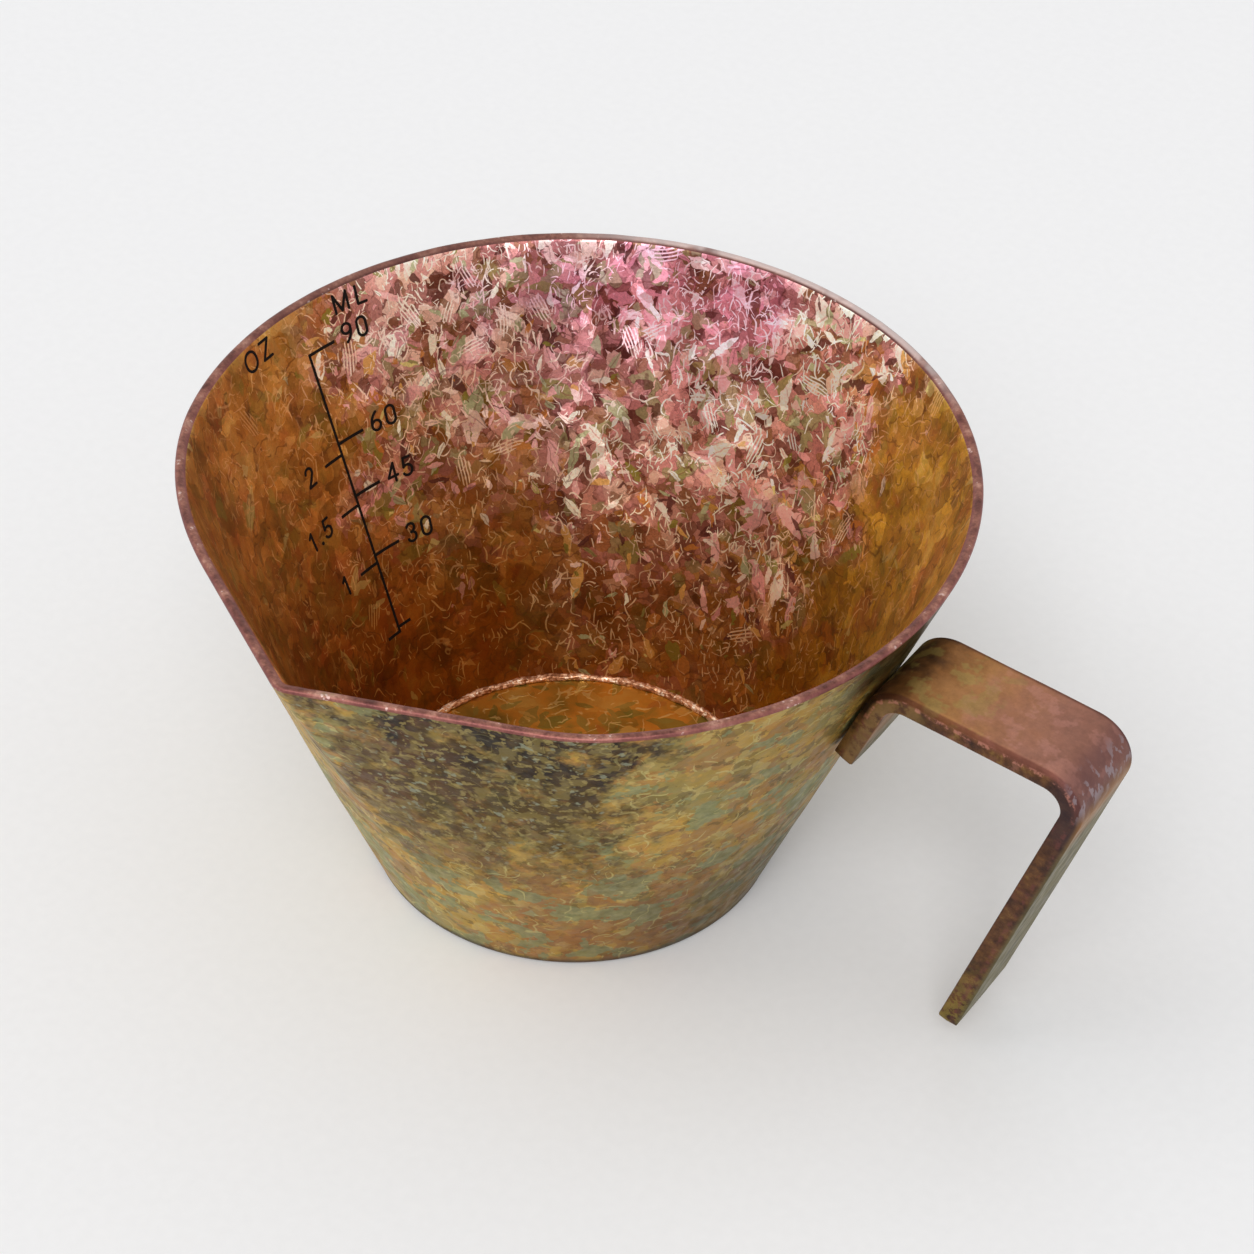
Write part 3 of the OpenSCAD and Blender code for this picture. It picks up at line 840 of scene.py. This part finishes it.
def lip_copper():
    """The rim: dusty rose-brown, with a painted highlight along the crest at the back, painted sparkles,
    and a dark outer edge at the back.
    """
    p = Paint("patina_lip")
    tone = p.noise(2.8, 4, 0.62)
    colour = p.ramp(tone, [(0.3, 88, 50, 44), (0.44, 126, 78, 68), (0.55, 158, 106, 90),
                           (0.66, 188, 142, 124), (0.76, 146, 118, 86)])
    grain = p.between(p.noise(0.35, 3, 0.7), 0.3, 0.7, 0.76, 1.18, "LINEAR")
    colour = p.tint(1.0, colour, p.grey(grain))
    back = p.sector(120, 45, 80)
    crest = p.between(p.normal(2), 0.75, 0.97)
    colour = p.mix(p.times(back, p.num("SUBTRACT", 1.0, crest), 0.8), colour, rgb(84, 50, 46))
    colour = p.mix(p.times(back, crest, 0.45), colour, rgb(118, 80, 72))
    edge = p.times(p.num("SUBTRACT", 1.0, crest), p.num("SUBTRACT", 1.0, back), 0.5)
    colour = p.mix(edge, colour, rgb(138, 80, 78))
    # Painted highlight along the crest at the back, broken up by noise
    shine = p.times(p.sector(88, 18, 42), crest, p.between(p.noise(3.5, 2), 0.34, 0.5, 0.3, 1.0))
    colour = p.mix(p.times(shine, 0.6), colour, rgb(250, 232, 226))
    # Painted sparkles: tiny bright glints in a few cells
    spark = p.times(p.less(p.split(p.cells(0.24).outputs["Color"])[0], 0.05), p.between(tone, 0.5, 0.6))
    colour = p.mix(p.times(spark, 0.5), colour, rgb(238, 214, 206))
    return p.shader(colour, 0.7, p.between(tone, 0.3, 0.7, 0.36, 0.52), p.noise(0.5, 3, 0.6), 0.04)


def base_copper():
    """The base disc: orange gold with leaf-like green patches and fine pale strokes."""
    p = Paint("patina_base")
    place = p.moved(0.5, 1.5, detail=2.0)
    up = (0.0, 0.0, 1.0)
    pick = p.split(p.cells(2.6, place, "MANHATTAN").outputs["Color"])
    value = p.sum(p.times(p.noise(5.5, 3, 0.6), 1.3), -0.15, p.times(p.centred(pick[0]), 0.2))
    colour = p.ramp(value, [(0.2, 122, 104, 38), (0.4, 164, 122, 42), (0.58, 200, 136, 46),
                            (0.78, 202, 152, 66)])
    for spacing, reach, width, seed in ((3.4, 2.3, 0.9, 3.7), (2.3, 1.5, 0.5, 13.1)):
        inside, _, kind = marks(p, place, up, spacing, reach, width, 0.55, 1.0, seed)
        tint = p.ramp(kind[0], [(0.0, 118, 116, 46), (0.4, 214, 172, 86), (0.6, 146, 132, 58),
                                (0.85, 178, 108, 42)], "CONSTANT")
        colour = p.mix(p.times(p.between(inside, 0, 0.06), 0.65), colour, tint)
    thin, _, _ = marks(p, place, up, 1.9, 1.4, 0.12, 0.5, 1.0, 19.3)
    strokes = p.num("MAXIMUM", p.between(thin, 0, 0.04), curls(p, place, 2.4, 0.02, 1.8, 0.5))
    colour = p.mix(p.times(strokes, 0.55), colour, rgb(228, 196, 122))
    height = p.sum(p.noise(0.6, 3), p.times(strokes, 0.5), p.times(pick[2], 0.4))
    return p.shader(colour, 0.8, p.between(pick[2], 0, 1, 0.3, 0.45), height, 0.03)


def bead_braze():
    """The braze bead: rough pink copper with bright grains."""
    p = Paint("braze_bead")
    grain = p.split(p.cells(0.3, p.moved(0.15, 0.3)).outputs["Color"])
    value = p.sum(p.noise(1.5, 2), p.times(p.centred(grain[0]), 0.6))
    colour = p.ramp(value, [(0.2, 146, 92, 60), (0.45, 200, 140, 102), (0.65, 232, 184, 148),
                            (0.85, 250, 226, 200)])
    height = p.sum(grain[1], p.noise(0.3, 3))
    return p.shader(colour, 0.75, p.between(grain[2], 0, 1, 0.28, 0.5), height, 0.06)


def strap_arm(p, x, z, wander, shine):
    """The arm's upper face: a painted shadow where it meets the cup, brown, gold and copper-mauve, then
    a purple bend with pale streaks, and painted shade along its edges.
    """
    # The near-black first stops are a painted shadow of the cup on the arm's end
    arm = p.ramp(p.between(p.sum(x, wander), 33, 60, shape="LINEAR"),
                 [(0.0, 40, 26, 14), (0.08, 66, 40, 20), (0.19, 142, 94, 48), (0.32, 168, 118, 68),
                  (0.46, 162, 110, 78), (0.64, 156, 106, 86), (0.8, 140, 94, 78),
                  (0.92, 116, 78, 68), (1.0, 100, 66, 64)])
    olive = p.times(p.between(p.noise(2.6, 3, 0.6, where=p.shifted(7, 0, 0)), 0.52, 0.6),
                    p.between(x, 49, 41))
    arm = p.mix(p.times(olive, 0.5), arm, rgb(160, 140, 76))
    rosy = p.times(p.between(p.noise(2.2, 3, 0.6), 0.52, 0.6), p.between(x, 40, 46))
    arm = p.mix(p.times(rosy, 0.35), arm, rgb(178, 124, 110))
    arm = p.tint(1.0, arm, p.grey(shine))
    # Painted shade along both edges of the upper face
    arm = p.tint(p.between(p.num("ABSOLUTE", p.axis(1)), 4.2, 4.55), arm, rgb(176, 152, 146))
    purple = p.times(p.between(x, 52.5, 54.5), p.between(z, 34, 36.5))
    arm = p.mix(p.times(purple, 0.45), arm, rgb(96, 60, 64))
    streak = p.between(p.noise(1.1, 3, 0.6, where=p.vec("MULTIPLY", p.mm, (1.0, 1.0, 0.5))), 0.53, 0.58)
    return p.mix(p.times(p.between(x, 53.5, 55.5), streak, 0.6), arm, rgb(158, 146, 152))


def strap_side(p, x, z, wander, shine):
    """The strap's narrow sides and under faces: dark red-brown, ochre at the two ends."""
    side = p.ramp(p.noise(1.3, 4, 0.68), [(0.3, 50, 28, 16), (0.45, 80, 48, 26),
                                          (0.58, 102, 66, 34), (0.72, 132, 100, 50)])
    plum = p.times(p.between(p.sum(x, p.times(wander, 0.3)), 51.5, 54), p.between(z, 28, 33))
    side = p.mix(p.times(plum, 0.8), side, rgb(52, 32, 36))
    tab = p.times(p.between(x, 41, 39), p.between(p.noise(1.4, 3, 0.65), 0.38, 0.56))
    side = p.mix(p.times(tab, 0.6), side, rgb(134, 104, 58))
    tip = p.times(p.between(z, 15, 4), p.between(p.noise(0.8, 3, 0.7), 0.42, 0.54))
    side = p.mix(p.times(tip, 0.6), side, rgb(140, 122, 50))
    return p.tint(1.0, side, p.grey(shine))


def strap_grey(p, z, wander):
    """The leg's outer face: grey-green with soft wavy lines, partly patina and partly a painted
    reflection of the pale floor, orange under the bend.
    """
    grey = p.ramp(p.noise(1.6, 4, 0.6, where=p.vec("MULTIPLY", p.mm, (1.0, 1.0, 0.25))),
                  [(0.3, 72, 64, 38), (0.44, 96, 88, 54), (0.58, 112, 104, 68), (0.72, 92, 78, 44)])
    return p.mix(p.between(p.sum(z, p.times(wander, 0.5)), 28, 35), grey, rgb(150, 106, 62))


def strap_copper():
    """The strap: brown-gold by the cup, copper-mauve along the arm, grey-green down the leg, with a
    painted shadow by the cup, painted shade and highlight along the edges, and a painted floor
    reflection in the grey-green.
    """
    p = Paint("patina_strap")
    x, y, z = p.axis(0), p.axis(1), p.axis(2)
    wander = p.times(p.centred(p.noise(5, 4, 0.62)), 12.0)
    fine = p.noise(1.1, 4, 0.7)
    shine = p.sum(p.between(fine, 0.3, 0.7, 0.84, 1.14, "LINEAR"),
                  p.times(p.centred(p.noise(0.35, 3, 0.7)), 0.3))
    arm = strap_arm(p, x, z, wander, shine)
    side = strap_side(p, x, z, wander, shine)
    # Low faces that turn away from the cup get the grey-green, partly a painted reflection of the floor
    floor_reflection_faces = p.between(p.normal(0), 0.5, 0.85)
    low = p.between(p.sum(z, p.times(wander, 0.2)), 36.5, 34)
    colour = p.mix(low, arm, side)
    colour = p.mix(p.times(floor_reflection_faces, low), colour, strap_grey(p, z, wander))
    reach = p.num("ABSOLUTE", y)
    colour = p.mix(p.between(reach, 4.6, 4.68), colour, side)

    # A painted highlight line near the edges: fine pink above, mauve below
    edge = p.times(p.between(reach, 4.6, 4.64), p.between(reach, 4.72, 4.68))
    edge_highlight = p.times(edge, p.between(p.noise(0.9, 3, 0.7), 0.46, 0.6, 0.1, 1.0))
    colour = p.mix(p.times(edge_highlight, 0.5), colour, p.mix(low, rgb(206, 138, 120), rgb(112, 60, 54)))
    height = p.sum(p.noise(0.7, 4, 0.6), p.times(fine, 0.5))
    return p.shader(colour, 0.6, p.between(p.noise(1.5, 2), 0.3, 0.7, 0.42, 0.6), height, 0.04)


def weld_copper():
    """The spot welds: dark, with a brown bloom."""
    p = Paint("weld_spots")
    colour = p.ramp(p.noise(0.8, 3), [(0.35, 60, 44, 36), (0.65, 120, 86, 60)])
    return p.shader(colour, 0.8, p.between(p.noise(0.5, 2), 0.3, 0.7, 0.4, 0.6), p.noise(0.4, 3), 0.04)


def scale_ink():
    """The printed scale: brown-black ink, a little worn."""
    p = Paint("scale_ink")
    wear = p.noise(0.5, 4, 0.65)
    colour = p.ramp(wear, [(0.35, 10, 7, 5), (0.62, 20, 13, 9), (0.76, 44, 28, 18)])
    rough = p.between(wear, 0.3, 0.7, 0.6, 0.8)
    return p.shader(colour, 0.0, rough, p.noise(0.2, 2), 0.01, 0.15)


def floor_paper():
    """The studio's pale sheet."""
    p = Paint("floor_paper")
    colour = p.ramp(p.noise(1.2, 3), [(0.3, 238, 238, 239), (0.7, 240, 240, 241)])
    rough = p.between(p.noise(2, 2), 0.3, 0.7, 0.8, 0.9)
    return p.shader(colour, 0.0, rough, p.noise(0.6, 2), 0.004, 0.1)


# ---- camera, floor and light ----

# The photograph's camera: down from level, clockwise roll, turn about Z, lens and place
TILT = math.radians(41.207)
ROLL = math.radians(1.640)
TURN = math.radians(33.518)
LENS = 96.62
SENSOR = 36.0
CAMERA_AT = Vector((136.60, -197.46, 235.50)) * MM
# Half the floor's width and its drop below the base in metres, and its squares along a side
FLOOR_HALF = 3.0
FLOOR_DROP = 0.00002
FLOOR_STEPS = 24
# What the lamps point at, and the strength of the light from all round
AIM = Vector((10, 0, 20)) * MM
FILL = 0.635
BACKDROP = rgb(236, 236, 238)


def make_camera():
    data = bpy.data.cameras.new("photo_camera")
    data.lens = LENS
    data.sensor_width = SENSOR
    data.clip_start, data.clip_end = 0.01, 20.0
    camera = bpy.data.objects.new("photo_camera", data)
    bpy.context.scene.collection.objects.link(camera)
    ahead = Vector((0, math.cos(TILT), -math.sin(TILT)))
    right = Vector((1, 0, 0))
    up = right.cross(ahead)
    across = math.cos(ROLL) * right + math.sin(ROLL) * up
    above = -math.sin(ROLL) * right + math.cos(ROLL) * up
    axes = Matrix((across, above, -ahead)).transposed()
    turned = (Matrix.Rotation(TURN, 3, "Z") @ axes).to_4x4()
    camera.matrix_world = Matrix.Translation(CAMERA_AT) @ turned
    bpy.context.scene.camera = camera


def make_floor():
    wide = FLOOR_STEPS + 1
    spots = [FLOOR_HALF * (2 * i / FLOOR_STEPS - 1) for i in range(wide)]
    verts = [(x, y, 0) for y in spots for x in spots]
    faces = [(j * wide + i, j * wide + i + 1, (j + 1) * wide + i + 1, (j + 1) * wide + i)
             for j in range(FLOOR_STEPS) for i in range(FLOOR_STEPS)]
    mesh = bpy.data.meshes.new("floor")
    mesh.from_pydata(verts, [], faces)
    floor = bpy.data.objects.new("floor", mesh)
    floor.location.z = -FLOOR_DROP
    mesh.materials.append(floor_paper())
    bpy.context.scene.collection.objects.link(floor)


def make_lamp(name, azimuth, elevation, distance, size, power):
    """A square soft box that looks at the cup: angles in degrees, metres, and power in watts."""
    data = bpy.data.lights.new(name, "AREA")
    data.shape = "SQUARE"
    data.size = size
    data.energy = power
    lamp = bpy.data.objects.new(name, data)
    a, e = math.radians(azimuth), math.radians(elevation)
    back = Vector((math.cos(a) * math.cos(e), math.sin(a) * math.cos(e), math.sin(e)))
    lamp.location = AIM + back * distance
    lamp.rotation_mode = "QUATERNION"
    lamp.rotation_quaternion = (-back).to_track_quat("-Z", "Y")
    bpy.context.scene.collection.objects.link(lamp)


def make_world():
    """Soft light from all round; the camera and reflections see a pale backdrop."""
    world = bpy.data.worlds.new("studio")
    bpy.context.scene.world = world
    world.use_nodes = True
    tree = world.node_tree
    tree.nodes.clear()
    path = tree.nodes.new("ShaderNodeLightPath")
    sight = path.outputs["Is Camera Ray"]
    for name in ("Is Glossy Ray", "Is Transmission Ray"):
        most = tree.nodes.new("ShaderNodeMath")
        most.operation = "MAXIMUM"
        tree.links.new(sight, most.inputs[0])
        tree.links.new(path.outputs[name], most.inputs[1])
        sight = most.outputs[0]
    mix = tree.nodes.new("ShaderNodeMixShader")
    tree.links.new(sight, mix.inputs[0])
    for socket, colour, strength in ((1, (1, 1, 1, 1), FILL), (2, BACKDROP, 1.0)):
        light = tree.nodes.new("ShaderNodeBackground")
        light.inputs["Color"].default_value = colour
        light.inputs["Strength"].default_value = strength
        tree.links.new(light.outputs[0], mix.inputs[socket])
    out = tree.nodes.new("ShaderNodeOutputWorld")
    tree.links.new(mix.outputs[0], out.inputs["Surface"])


# ---- the scene ----

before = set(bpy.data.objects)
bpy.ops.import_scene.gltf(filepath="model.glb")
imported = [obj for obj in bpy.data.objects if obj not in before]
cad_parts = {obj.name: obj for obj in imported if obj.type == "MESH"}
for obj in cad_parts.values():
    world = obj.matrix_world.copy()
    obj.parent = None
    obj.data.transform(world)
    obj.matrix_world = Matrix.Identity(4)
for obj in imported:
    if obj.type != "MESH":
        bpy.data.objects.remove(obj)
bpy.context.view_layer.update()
bpy.context.scene.view_settings.view_transform = "Standard"

wall = cup_wall()
for material in (outside_copper(), lip_copper(), inside_copper()):
    wall.data.materials.append(material)
plate = base_plate()
plate.data.materials.append(base_copper())
bead = base_bead()
bead.data.materials.append(bead_braze())
handle = strap_handle()
handle.data.materials.append(strap_copper())

for piece, node, finish in (
        (wall, "cup_wall", "wall_copper"), (plate, "base_disc", "base_copper"),
        (bead, "base_bead", "braze"), (handle, "handle", "strap_copper")):
    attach(piece, "root")
    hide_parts(node)


def repaint(node, material):
    """Gives a node of the pack another material, and leaves its shape and place alone."""
    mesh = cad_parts[node].data
    mesh.materials.clear()
    mesh.materials.append(material)


repaint("spot_welds", weld_copper())
ink = scale_ink()
for node in ("scale_line", "ml_ticks", "oz_ticks", "ml_figures", "oz_figures", "unit_letters"):
    repaint(node, ink)

make_floor()
make_world()
make_lamp("left", 214, 52, 5.0, 3.4, 36.0)
make_lamp("front", 296, 46, 5.0, 2.6, 112.0)
make_camera()
